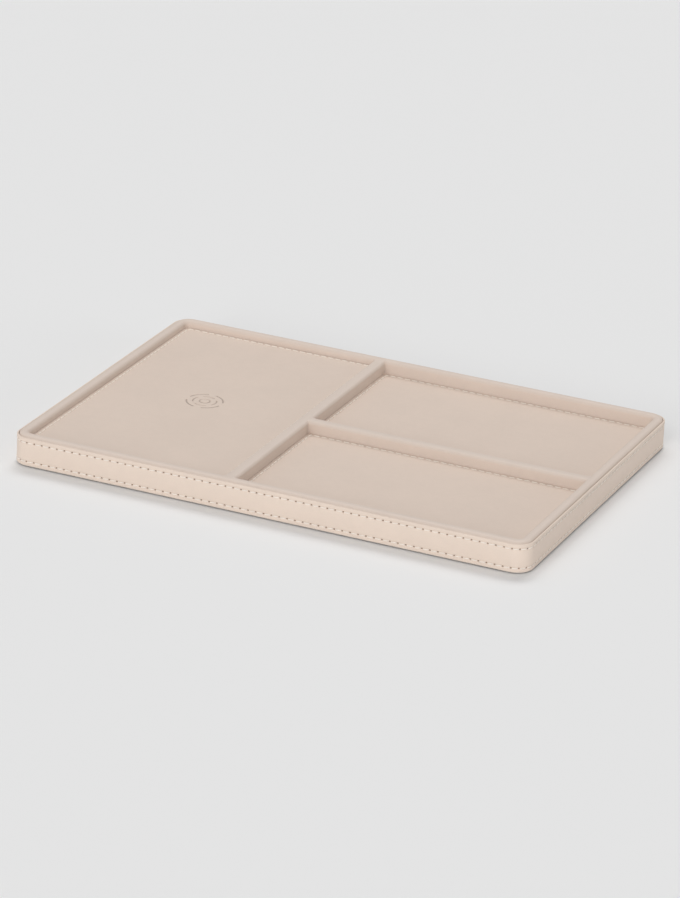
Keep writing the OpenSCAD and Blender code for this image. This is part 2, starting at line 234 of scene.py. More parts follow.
def suede(name, base):
    n = Nodes(name)
    co = n.coords()
    nap = n.noise(co, 2400.0, 3.0, 0.65)
    drift = n.noise(co, 55.0, 3.0, 0.55, 0.6)
    n.link(n.bump(nap, 0.5, 0.00018), n.b.inputs["Normal"])
    c = n.mix(n.ramp(drift, 0.3, 0.7), shade(base, 0.93), shade(base, 1.05))
    c = n.mix(n.ramp(nap, 0.3, 0.7, 0.0, 0.3), c, shade(base, 0.8))
    n.link(c, n.b.inputs["Base Color"])
    n.link(n.math("MULTIPLY_ADD", nap, 0.1, 0.86), n.b.inputs["Roughness"])
    n.b.inputs["Sheen Weight"].default_value = 0.4
    n.b.inputs["Sheen Roughness"].default_value = 0.35
    n.b.inputs["Specular IOR Level"].default_value = 0.2
    return n.m


def plain(name, base, rough, metal=0.0, grain=900.0, bump=0.1, depth=0.00003, spec=0.5, stretch=None, vary=0.04):
    """Moulded, plated or cut material with its own fine texture."""
    n = Nodes(name)
    co = n.coords()
    if stretch:
        mp = n.add("ShaderNodeMapping")
        mp.inputs["Scale"].default_value = stretch
        n.link(co, mp.inputs["Vector"])
        co = mp.outputs["Vector"]
    fine = n.noise(co, grain, 3.0, 0.6)
    slow = n.noise(co, grain / 14.0, 2.0, 0.5)
    n.link(n.bump(fine, bump, depth), n.b.inputs["Normal"])
    c = n.mix(n.ramp(slow, 0.3, 0.7), shade(base, 1 - vary), shade(base, 1 + vary))
    n.link(c, n.b.inputs["Base Color"])
    n.link(n.math("MULTIPLY_ADD", fine, 0.16, rough - 0.08), n.b.inputs["Roughness"])
    n.b.inputs["Metallic"].default_value = metal
    n.b.inputs["Specular IOR Level"].default_value = spec
    return n.m


LEATHER = lin(218, 202, 190)
FLOOR_LEATHER = lin(220, 202, 188)
M_LEATHER = leather("leather_wrap", LEATHER)
M_FLOOR = leather("leather_floor", FLOOR_LEATHER)
# the band is a lighter copy of the wrap leather: painted light standing in for the strong front lighting on the band's
# outside
M_BAND_PAINTED_LIGHT = leather("leather_band_painted_light", shade(lin(224, 207, 193), 1.05))
# lighter colour on the band's bottom edge: painted highlight standing in for light bounced up from the pale floor
M_EDGE_FLOOR_BOUNCE = leather("painted_floor_bounce_edge", lin(236, 224, 213), 0.45, 0.3)
# dark brown on the faces round each stitch hole: painted shade inside the awl holes
M_HOLE_SHADE = plain("painted_hole_shade", lin(158, 136, 120), 0.85, grain=3000.0, bump=0.3, spec=0.15)
# darker flesh side of the band's inner face; its dark colour also paints shade into the seam gap under the rim
M_FLESH_AND_GAP_SHADE = plain("flesh_side_and_seam_shade", lin(150, 126, 108), 0.9, grain=1900.0, bump=0.5, depth=0.00006, spec=0.15, vary=0.08)
M_PRESSED = leather("leather_pressed", shade(FLOOR_LEATHER, 0.70), 0.42, 0.5)
M_THREAD = thread_material("thread_waxed", lin(250, 240, 230))
M_THREAD_FLOOR = thread_material("thread_floor", lin(250, 240, 228))
M_LINING = suede("lining_suede", lin(187, 168, 152))
M_SILICONE = plain("silicone_foot", lin(214, 208, 201), 0.55, grain=1500.0, bump=0.12, spec=0.4)
M_BOARD = plain("fibreboard", lin(178, 147, 108), 0.8, grain=1400.0, bump=0.6, depth=0.0001, spec=0.2, vary=0.1)
M_CARD = plain("grey_card", lin(150, 141, 130), 0.9, grain=1800.0, bump=0.4, depth=0.00006, spec=0.2, vary=0.08)
M_CASE = plain("moulded_plastic", lin(226, 223, 218), 0.45, grain=1600.0, bump=0.15)
M_BEZEL = plain("bezel_plastic", lin(196, 178, 164), 0.42, grain=2000.0, bump=0.15)
M_STEEL = plain("plated_steel", lin(196, 198, 202), 0.28, metal=1.0, grain=700.0, bump=0.12, stretch=(1.0, 9.0, 1.0))
M_TONGUE = plain("tongue_plastic", lin(34, 34, 37), 0.4, grain=2200.0, bump=0.1)
M_COPPER = plain("enamelled_copper", lin(198, 120, 66), 0.3, metal=1.0, grain=1300.0, bump=0.3, depth=0.00008)
M_FERRITE = plain("ferrite", lin(70, 71, 76), 0.55, grain=1500.0, bump=0.25)
M_PCB = plain("solder_mask", lin(28, 104, 66), 0.35, grain=1100.0, bump=0.2)
M_CHIP = plain("chip_epoxy", lin(36, 37, 42), 0.5, grain=2600.0, bump=0.3)
M_MLCC = plain("capacitor_ceramic", lin(178, 158, 128), 0.5, grain=2000.0, bump=0.2)
M_GAP = plain("gap_pad", lin(156, 180, 204), 0.75, grain=1200.0, bump=0.3)
M_WIRE = plain("wire_insulation", lin(48, 50, 56), 0.45, grain=1500.0, bump=0.1)


def put(node, mat):
    me = nodes[node].data
    me.materials.clear()
    me.materials.append(mat)


for n_, m_ in {
    "base_board": M_BOARD, "left_rail": M_BOARD, "right_rail": M_BOARD, "front_rail": M_BOARD, "back_rail": M_BOARD,
    "long_divider_core": M_BOARD, "cross_divider_core": M_BOARD, "pad_board": M_BOARD,
    "back_tray_board": M_CARD, "front_tray_board": M_CARD, "underside_lining": M_LINING, "feet": M_SILICONE,
    "charger_case": M_CASE, "charger_lid": M_CASE, "service_cover": M_CASE, "charging_coil": M_COPPER,
    "coil_ferrite": M_FERRITE, "charger_pcb": M_PCB, "port_board": M_PCB, "controller_chip": M_CHIP,
    "bridge_transistors": M_CHIP, "resonant_capacitors": M_MLCC, "thermal_pad": M_GAP, "pcb_screws": M_STEEL,
    "lid_screws": M_STEEL, "cover_screws": M_STEEL, "power_lead": M_WIRE, "usb_c_shell": M_STEEL,
    "usb_c_tongue": M_TONGUE, "port_bezel": M_BEZEL,
}.items():
    put(n_, m_)


# ---------------------------------------------------------------- mesh tools
def piece(name, verts, faces, mat, replaces=(), uvs=None, more=(), index=None):
    me = bpy.data.meshes.new(name)
    me.from_pydata((np.asarray(verts, float) * MM).tolist(), [], faces)
    me.update(calc_edges=True)
    me.shade_smooth()
    if uvs is not None:
        layer = me.uv_layers.new(name="UVMap")
        idx = np.empty(len(me.loops), np.int32)
        me.loops.foreach_get("vertex_index", idx)
        layer.data.foreach_set("uv", np.asarray(uvs, np.float32)[idx].ravel())
    for m in (mat, *more):
        me.materials.append(m)
    if index is not None:
        me.polygons.foreach_set("material_index", np.asarray(index, np.int32))
    bm = bmesh.new()                           # every face looks outward
    bm.from_mesh(me)
    bmesh.ops.recalc_face_normals(bm, faces=bm.faces)
    bm.to_mesh(me)
    bm.free()
    ob = bpy.data.objects.new(name, me)
    scene.collection.objects.link(ob)
    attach(ob, "root")
    if replaces:
        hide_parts(*replaces)
    return ob


def ring(w, d, r, s, cx=0.0, cy=0.0):
    """Points and outward normals on a rounded rectangle at arc lengths s, from the front's middle, anticlockwise seen from above.
    Also the corner angle (0 to 90 degrees, else -1)."""
    a, b, q = w / 2 - r, d / 2 - r, math.pi * r / 2
    runs = [("l", 0, -d / 2, 1, 0, a), ("c", a, -b, -90, q), ("l", w / 2, -b, 0, 1, 2 * b), ("c", a, b, 0, q),
            ("l", a, d / 2, -1, 0, 2 * a), ("c", -a, b, 90, q), ("l", -w / 2, b, 0, -1, 2 * b), ("c", -a, -b, 180, q),
            ("l", -a, -d / 2, 1, 0, a)]
    total = sum(x[-1] for x in runs)
    s = np.asarray(s, float) % total
    P, N, C = np.zeros((len(s), 2)), np.zeros((len(s), 2)), -np.ones(len(s))
    at = 0.0
    for run in runs:
        m = (s >= at - 1e-12) & (s < at + run[-1])
        t = s[m] - at
        if run[0] == "l":
            _, x, y, dx, dy, _ = run
            P[m] = np.stack([x + dx * t, y + dy * t], 1)
            N[m] = [dy, -dx]
        else:
            _, x, y, a0, _ = run
            th = np.radians(a0) + t / r
            N[m] = np.stack([np.cos(th), np.sin(th)], 1)
            P[m] = np.array([x, y]) + r * N[m]
            C[m] = np.degrees(t / r)
        at += run[-1]
    return P + np.array([cx, cy]), N, C, total


def ring_total(w, d, r):
    return 2 * (w - 2 * r) + 2 * (d - 2 * r) + 2 * math.pi * r


LOCAL = (-0.72, -0.5, -0.3, -0.1, 0.1, 0.3, 0.5, 0.72)


def stitch_columns(total, pitch, phase, between=2):
    """Arc lengths of the columns, dense at each hole, and each column's signed distance to its hole."""
    n = int(round(total / pitch))
    p = total / n
    s, near = [], []
    for i in range(n):
        h = phase + i * p
        for v in LOCAL:
            s.append(h + v)
            near.append(v)
        free = p - 2 * LOCAL[-1]
        for k in range(1, between + 1):
            x = LOCAL[-1] + free * k / (between + 1)
            s.append(h + x)
            near.append(x if x < p / 2 else x - p)
    holes = phase + p * np.arange(n)
    return np.array(s), np.array(near), holes, p


def plain_columns(w, d, r, step, arc_steps):
    """Arc lengths on a rounded rectangle with even steps on the sides and in the corners."""
    a, b, q = w / 2 - r, d / 2 - r, math.pi * r / 2
    s, at = [], 0.0
    for length, steps in ((a, 0), (q, arc_steps), (2 * b, 0), (q, arc_steps), (2 * a, 0), (q, arc_steps), (2 * b, 0),
                          (q, arc_steps), (a, 0)):
        k = steps or max(1, int(round(length / step)))
        s += [at + length * i / k for i in range(k)]
        at += length
    return np.array(s)


def grid_faces(cols, rows, wrap_c=True, wrap_r=False, skip=None, flip=False):
    out = []
    for i in range(cols if wrap_c else cols - 1):
        i2 = (i + 1) % cols
        for j in range(rows if wrap_r else rows - 1):
            if skip and skip(i, j):
                continue
            j2 = (j + 1) % rows
            f = (i * rows + j, i2 * rows + j, i2 * rows + j2, i * rows + j2)
            out.append(f[::-1] if flip else f)
    return out


def profile_normals(prof, closed=False):
    p = np.asarray(prof, float)
    if closed:
        t = np.roll(p, -1, 0) - np.roll(p, 1, 0)
    else:
        t = np.gradient(p, axis=0)
    t /= np.maximum(np.linalg.norm(t, axis=1, keepdims=True), 1e-9)
    return np.stack([t[:, 1], -t[:, 0]], 1)     # right of the direction of travel


def wobble(s, total, amp, seed, lows=(3, 5, 8, 13, 21, 34)):
    """Smooth closed variation along a loop."""
    rng = np.random.default_rng(seed)
    out = np.zeros_like(s)
    for k in lows:
        out += rng.normal() / math.sqrt(k) * np.sin(2 * math.pi * (k * s / total + rng.random()))
    return amp * out / 1.4


def smooth(x, a, b):
    t = np.clip((x - a) / (b - a), 0, 1)
    return t * t * (3 - 2 * t)


# ---------------------------------------------------------------- stitches
def stitches(name, place, holes, pitch, total, mat, replaces, thick=0.30, lift=0.10, slant=0.0, seed=1):
    """One strand a stitch, dipping into the holes at both ends. place(s, out, along) gives a point: out from the surface,
    along is across the row."""
    rng = np.random.default_rng(seed)
    sides, rings_t = 8, np.array([0.0, 0.04, 0.08, 0.13, 0.22, 0.36, 0.5, 0.64, 0.78, 0.87, 0.92, 0.96, 1.0])
    V, F, UV = [], [], []
    for h in holes:
        base = len(V)
        k = 1.0 + rng.normal() * 0.03
        tilt = slant + rng.normal() * 0.03
        out = -0.50 + (0.50 + lift) * smooth(rings_t, 0.0, 0.13) * smooth(1 - rings_t, 0.0, 0.13)
        s = h + 0.40 + rings_t * (pitch - 0.80)
        rad = thick * k * (0.72 + 0.28 * np.sin(math.pi * np.clip(rings_t, 0, 1)) ** 0.5)
        across = tilt * (rings_t - 0.5) * 2
        for j, (sj, oj, rj, aj) in enumerate(zip(s, out, rad, across)):
            for q in range(sides):
                a = 2 * math.pi * q / sides
                V.append((sj, oj + 0.86 * rj * math.sin(a), aj + rj * math.cos(a)))
                UV.append((rings_t[j], q / sides))
        n = len(rings_t)
        for j in range(n - 1):
            for q in range(sides):
                q2 = (q + 1) % sides
                F.append((base + j * sides + q, base + j * sides + q2, base + (j + 1) * sides + q2, base + (j + 1) * sides + q))
        F.append(tuple(base + q for q in range(sides))[::-1])
        F.append(tuple(base + (n - 1) * sides + q for q in range(sides)))
    V = np.array(V)
    P = place(V[:, 0], V[:, 1], V[:, 2])
    return piece(name, P, F, mat, replaces, UV)


# ---------------------------------------------------------------- outside band
TOTAL = ring_total(W, D, R)
PHASE = 0.42                               # a hole this far right of the front's middle
cols, near, HOLES, P_BAND = stitch_columns(TOTAL, PITCH, PHASE)


def band_out(z):
    """Outward offset of the band's face at height z, from the CAD face."""
    z = np.asarray(z, float)
    n = -0.25 + 0.08 * np.exp(-((z - 1.75) / 0.75) ** 2) + 0.09 * np.exp(-((z - 15.75) / 0.6) ** 2)
    n = n - 0.20 * np.exp(-((z - ROW_TOP) / 0.62) ** 2) - 0.12 * np.exp(-((z - ROW_LOW) / 0.5) ** 2)
    hi, lo = z - (SEAM - 0.45), (Z0 + 0.4) - z
    n = n - np.where(hi > 0, 0.45 - np.sqrt(np.maximum(0.45 ** 2 - np.clip(hi, 0, 0.45) ** 2, 0)), 0)
    n = n - np.where(lo > 0, 0.4 - np.sqrt(np.maximum(0.4 ** 2 - np.clip(lo, 0, 0.4) ** 2, 0)), 0)
    return n


row_z = np.array([-0.75, -0.42, -0.24, -0.08, 0.08, 0.24, 0.42, 0.75])
zs = sorted(set(np.round(np.concatenate([
    Z0 + np.array([0.0, 0.04, 0.12, 0.25, 0.4, 0.7, 1.1]),
    ROW_LOW + row_z, np.array([4.7, 7.2, 9.8, 12.3]),
    ROW_TOP + row_z, SEAM - np.array([1.1, 0.85, 0.65, 0.45, 0.3, 0.16, 0.06, 0.0])]), 4)))
outer = [(float(band_out(z)), z) for z in zs]
inner = [(-0.83, SEAM), (-1.02, SEAM - 0.04), (-1.12, SEAM - 0.14), (-1.14, SEAM - 0.5), (-1.17, 12.3), (-1.2, 4.7),
         (-1.2, 1.2), (-1.15, 0.9), (-0.95, 0.8)]
prof = np.array(outer + inner)
n_out = len(outer)
pn = profile_normals(prof, closed=True)     # outward

P, N, C, _ = ring(W, D, R, cols)
J = len(prof)
s_all = cols % TOTAL
back_seam = TOTAL / 2 + 60.0                # butt joint of the band's ends, on the back
ns = prof[None, :, 0] + np.zeros((len(cols), 1))
zz = prof[None, :, 1] + np.zeros((len(cols), 1))
disp = np.zeros_like(ns)
for zr, pit in ((ROW_TOP, 0.66), (ROW_LOW, 0.66)):
    dv = prof[None, :, 1] - zr
    rho2 = near[:, None] ** 2 + dv ** 2
    disp -= pit * np.exp(-((near[:, None] / 0.50) ** 2 + (dv / 0.34) ** 2) ** 1.5)
    disp -= 0.10 * np.exp(-rho2 / 0.75 ** 2)
    disp -= 0.05 * np.exp(-(dv / 0.42) ** 2)
disp += wobble(s_all, TOTAL, 0.025, 4)[:, None] * np.exp(-((prof[None, :, 1] - 9.0) / 4.5) ** 2)
d_seam = s_all - back_seam
disp -= 0.28 * np.exp(-(d_seam / 0.16) ** 2)[:, None]
disp[:, n_out:] = 0.0
ns = ns + disp * pn[None, :, 0]
zz = zz + disp * pn[None, :, 1]
rise = wobble(s_all, TOTAL, 0.02, 7)        # the cut edge isn't perfectly level
top_w = smooth(prof[:, 1], 15.4, 16.4)
zz = zz + rise[:, None] * top_w[None, :]
X = P[:, None, 0] + N[:, None, 0] * ns
Y = P[:, None, 1] + N[:, None, 1] * ns
V = np.stack([X, Y, zz], 2).reshape(-1, 3)

# the port's hole: a block of the grid comes out, and a plate with a slot shape closes it
jlo = int(np.argmin(abs(prof[:n_out, 1] - 4.7)))
jhi = int(np.argmin(abs(prof[:n_out, 1] - 12.3)))
klo = n_out + 4                              # inner face, at 12.3
khi = n_out + 5                              # inner face, at 4.7
on_back = (P[:, 1] > D / 2 - 0.01)
inside = [i for i in range(len(cols)) if on_back[i] and abs(P[i, 0] - PORT_X) < 8.6]
i0, i1 = min(inside), max(inside)
block = set(range(i0, i1))


def skip(i, j):
    return i in block and (jlo <= j < jhi or klo <= j < khi)


F = grid_faces(len(cols), J, True, True, skip)
extra = []
SLOT_W, SLOT_H = 13.2, 6.6


def slot_loop(w, h, k=14):
    pts = []
    for sx, a0 in ((1, -90), (-1, 90)):
        for t in range(k + 1):
            a = math.radians(a0 + 180 * t / k)
            pts.append((sx * (w - h) / 2 + h / 2 * math.cos(a), h / 2 * math.sin(a)))
    return pts                                # anticlockwise


def in_loop(loop, x, z):
    odd = False
    for (xa, za), (xb, zb) in zip(loop, loop[1:] + loop[:1]):
        if (za > z) != (zb > z) and x < xa + (z - za) * (xb - xa) / (zb - za):
            odd = not odd
    return odd


def plate_with_hole(loop_ids, loop_xz, hole_xz, depth_of, verts, faces, flip):
    """Fills between a loop of existing vertices and a hole; returns the hole's vertex ids."""
    n1, n2 = len(loop_ids), len(hole_xz)
    ring2 = [(x * 1.09, z * 1.06) for x, z in hole_xz]
    pts = [Vector(p) for p in loop_xz] + [Vector(p) for p in hole_xz] + [Vector(p) for p in ring2]
    edges = [(i, (i + 1) % n1) for i in range(n1)] + [(n1 + i, n1 + (i + 1) % n2) for i in range(n2)]
    res = delaunay_2d_cdt(pts, edges, [], 0, 1e-6)
    cv, _, cf, ov = res[0], res[1], res[2], res[3]
    ids = {}
    base = len(verts)
    new = []
    hole_ids = [None] * n2
    for k, v in enumerate(cv):
        src = [q for q in ov[k] if q < n1]
        if src:
            ids[k] = loop_ids[src[0]]
        else:
            ids[k] = base + len(new)
            x, z = v
            new.append(depth_of(x, z))
            for q in ov[k]:
                if n1 <= q < n1 + n2:
                    hole_ids[q - n1] = ids[k]
    half, rad = (max(p[0] for p in hole_xz) - max(p[1] for p in hole_xz)), max(p[1] for p in hole_xz)
    rim_pts = {k for k in range(len(cv)) if any(n1 <= q < n1 + n2 for q in ov[k])}
    for f in cf:
        if all(q in rim_pts for q in f):
            continue
        cx_ = sum(cv[q][0] for q in f) / 3
        cz_ = sum(cv[q][1] for q in f) / 3
        if not in_loop(loop_xz, cx_, cz_):
            continue
        dx = max(abs(cx_) - half, 0)
        if math.hypot(dx, cz_) < rad * 0.995:
            continue
        g = tuple(ids[q] for q in f)
        faces.append(g[::-1] if flip else g)
    return new, hole_ids


def block_loop(ja, jb):
    """Vertex ids round the removed block, and their (x, z) from the port, seen from outside the back."""
    ids = [i * J + ja for i in range(i0, i1 + 1)]
    ids += [i1 * J + j for j in range(ja + 1, jb + 1)]
    ids += [i * J + jb for i in range(i1 - 1, i0 - 1, -1)]
    ids += [i0 * J + j for j in range(jb - 1, ja, -1)]
    return ids


V = V.tolist()
ids = block_loop(jlo, jhi)
xz = [(PORT_X - V[q][0], V[q][2] - PORT_Z) for q in ids]
hole = slot_loop(SLOT_W, SLOT_H)
new, h_out = plate_with_hole(ids, xz, hole, lambda x, z: [PORT_X - x, D / 2 + float(band_out(PORT_Z + z)), PORT_Z + z], V, F, False)
V += new
ids = block_loop(klo, khi)
xz = [(PORT_X - V[q][0], V[q][2] - PORT_Z) for q in ids]
new, h_in = plate_with_hole(ids, xz, hole, lambda x, z: [PORT_X - x, D / 2 - BAND_T, PORT_Z + z], V, F, True)
V += new
for k in range(len(hole)):
    k2 = (k + 1) % len(hole)
    F.append((h_out[k2], h_out[k], h_in[k], h_in[k2]))


def band_index(f):
    if len(f) != 4 or max(f) >= len(cols) * J:
        return 0
    js = {q % J for q in f}
    # inner face of the band gets slot 2: darker flesh side, also painted shade in the seam gap
    if min(js) >= n_out + 3 and max(js) <= n_out + 7:
        return 2
    # lowest rows of the band get slot 3, the painted floor-bounce highlight
    if max(js) <= 4:
        return 3
    # faces round each stitch hole get slot 1, the painted hole shade
    i_ = [q // J for q in f]
    a_, b_ = sum(abs(near[q]) for q in i_) / 4, sum(prof[q % J, 1] for q in f) / 4
    c_ = min(abs(b_ - ROW_TOP), abs(b_ - ROW_LOW))
    return 1 if max(js) < n_out and (a_ / 0.5) ** 2 + (c_ / 0.30) ** 2 < 1.0 else 0


band = piece("band", V, F, M_BAND_PAINTED_LIGHT, ["outer_band"], more=(M_HOLE_SHADE, M_FLESH_AND_GAP_SHADE, M_EDGE_FLOOR_BOUNCE), index=[band_index(f) for f in F])


def band_place(zr):
    n0 = float(band_out(zr)) - 0.05

    def place(s, out, across):
        p, n, _, _ = ring(W, D, R, s)
        xy = p + n * (n0 + out)[:, None]
        return np.column_stack([xy, zr + across])
    return place


stitches("band_top_stitches", band_place(ROW_TOP), HOLES, P_BAND, TOTAL, M_THREAD, ["band_top_thread"], thick=0.33, lift=0.11, slant=0.10, seed=11)
stitches("band_bottom_stitches", band_place(ROW_LOW), HOLES, P_BAND, TOTAL, M_THREAD, ["band_bottom_thread"], thick=0.33, lift=0.11, slant=0.10, seed=12)

# ---------------------------------------------------------------- rim
RIM_R = 2.2
zc = TOP - RIM_R
rim_prof = [(-1.24, 11.0), (-1.27, 14.0)]
for a in np.linspace(0, 90, 15):
    rim_prof.append((-1.30 - 2.1 + 2.1 * math.cos(math.radians(a)), TOP - 2.1 + 2.1 * math.sin(math.radians(a))))
rim_prof.append((-4.1, TOP + 0.0))
for a in np.linspace(90, 180, 15):
    rim_prof.append((-WALL + RIM_R + RIM_R * math.cos(math.radians(a)), zc + RIM_R * math.sin(math.radians(a))))
for z in (14.9, 14.2, 13.5, 12.6, 11.6, 10.6, 9.2):
    rim_prof.append((-WALL, z))
rim_prof += [(-WALL + 1.0, 9.2), (-WALL + 1.0, 12.0), (-2.3, 12.0), (-2.3, 11.0)]
rim_prof = np.array(rim_prof)
rs = plain_columns(W, D, R, 2.4, 18)
P, N, C, _ = ring(W, D, R, rs)
pn = profile_normals(rim_prof, closed=True)
vis = smooth(rim_prof[:, 1], 12.0, 15.0)
amp = wobble(rs, TOTAL, 0.030, 21)[:, None] * vis[None, :]
amp2 = wobble(rs, TOTAL, 0.030, 22)[:, None] * (vis * (rim_prof[:, 0] < -4.3))[None, :]
dd = np.minimum(amp + amp2 - 0.03 * vis[None, :], 0.0)
ns = rim_prof[None, :, 0] + dd * pn[None, :, 0]
zz = rim_prof[None, :, 1] + dd * pn[None, :, 1]
X = P[:, None, 0] + N[:, None, 0] * ns
Y = P[:, None, 1] + N[:, None, 1] * ns
V = np.stack([X, Y, zz], 2).reshape(-1, 3)
rim = piece("rim_cover", V, grid_faces(len(rs), len(rim_prof), True, True), M_LEATHER, ["rim_leather"])


# ---------------------------------------------------------------- dividers
def divider(name, along, lo_end, hi_end, lo_face, hi_face, mid, top, end_top, cad, seed):
    """A crowned bar whose leather spreads softly into what it meets at both ends."""
    span = np.unique(np.round(np.concatenate([
        np.arange(lo_face + 6, hi_face - 6, 2.5), [lo_end, lo_end + 0.8, lo_end + 1.6, lo_face - 0.9, lo_face - 0.4],
        lo_face + np.array([0, 0.15, 0.35, 0.6, 0.9, 1.3, 1.8, 2.5, 3.4, 4.6]),
        hi_face - np.array([0, 0.15, 0.35, 0.6, 0.9, 1.3, 1.8, 2.5, 3.4, 4.6, 6.0]),
        [hi_face + 0.4, hi_face + 0.9, hi_end - 1.6, hi_end - 0.8, hi_end]]), 3))
    d = np.minimum(span - lo_face, hi_face - span)
    dpos = np.maximum(d, 0)
    hw = DIV / 2 + 0.55 * np.exp(-dpos / 0.45) * 1.0
    zt = top + (end_top - top) * np.exp(-dpos / 2.2)
    r0 = 1.8
    L = hi_face - lo_face
    wob = wobble(span, L * 2, 0.03, seed, (3, 7, 11, 19))
    rows = []
    for x, h, z, w_, dp in zip(span, hw, zt, wob, dpos):
        pts = [(-h, 9.2), (-h, 10.6), (-h, 12.0), (-h, 13.4), (-h, 14.6)]
        rr_ = r0 + min(w_, 0)
        for a in np.linspace(180, 90, 13):
            pts.append((-(h - r0) + rr_ * math.cos(math.radians(a)), z - 0.07 - r0 + rr_ * math.sin(math.radians(a))))
        pts += [(-0.45 * (h - r0), z - 0.015), (0.45 * (h - r0), z - 0.015)]
        for a in np.linspace(90, 0, 13):
            pts.append((h - r0 + rr_ * math.cos(math.radians(a)), z - 0.07 - r0 + rr_ * math.sin(math.radians(a))))
        pts += [(h, 14.6), (h, 13.4), (h, 12.0), (h, 10.6), (h, 9.2), (h - 1.0, 9.2), (-h + 1.0, 9.2)]
        rows.append(pts)
    rows = np.array(rows)
    n, m = rows.shape[:2]
    V = np.zeros((n, m, 3))
    if along == "y":
        V[:, :, 0] = mid + rows[:, :, 0]
        V[:, :, 1] = span[:, None]
    else:
        V[:, :, 0] = span[:, None]
        V[:, :, 1] = mid + rows[:, :, 0]
    V[:, :, 2] = rows[:, :, 1]
    flip = along == "y"
    F = grid_faces(n, m, False, True, None, flip)
    a, b = tuple(range(m)), tuple((n - 1) * m + k for k in range(m))
    F.append(a if flip else a[::-1])
    F.append(b[::-1] if flip else b)
    return piece(name, V.reshape(-1, 3), F, M_LEATHER, [cad])


divider("long_divider", "y", -IN_Y - 3.0, IN_Y + 3.0, -IN_Y, IN_Y, LONG_X, 17.38, 17.72, "long_divider_leather", 31)
divider("cross_divider", "x", LONG_X + 0.4, IN_X + 3.0, LONG_X + DIV / 2, IN_X, CROSS_Y, 17.1, 17.34, "cross_divider_leather", 32)


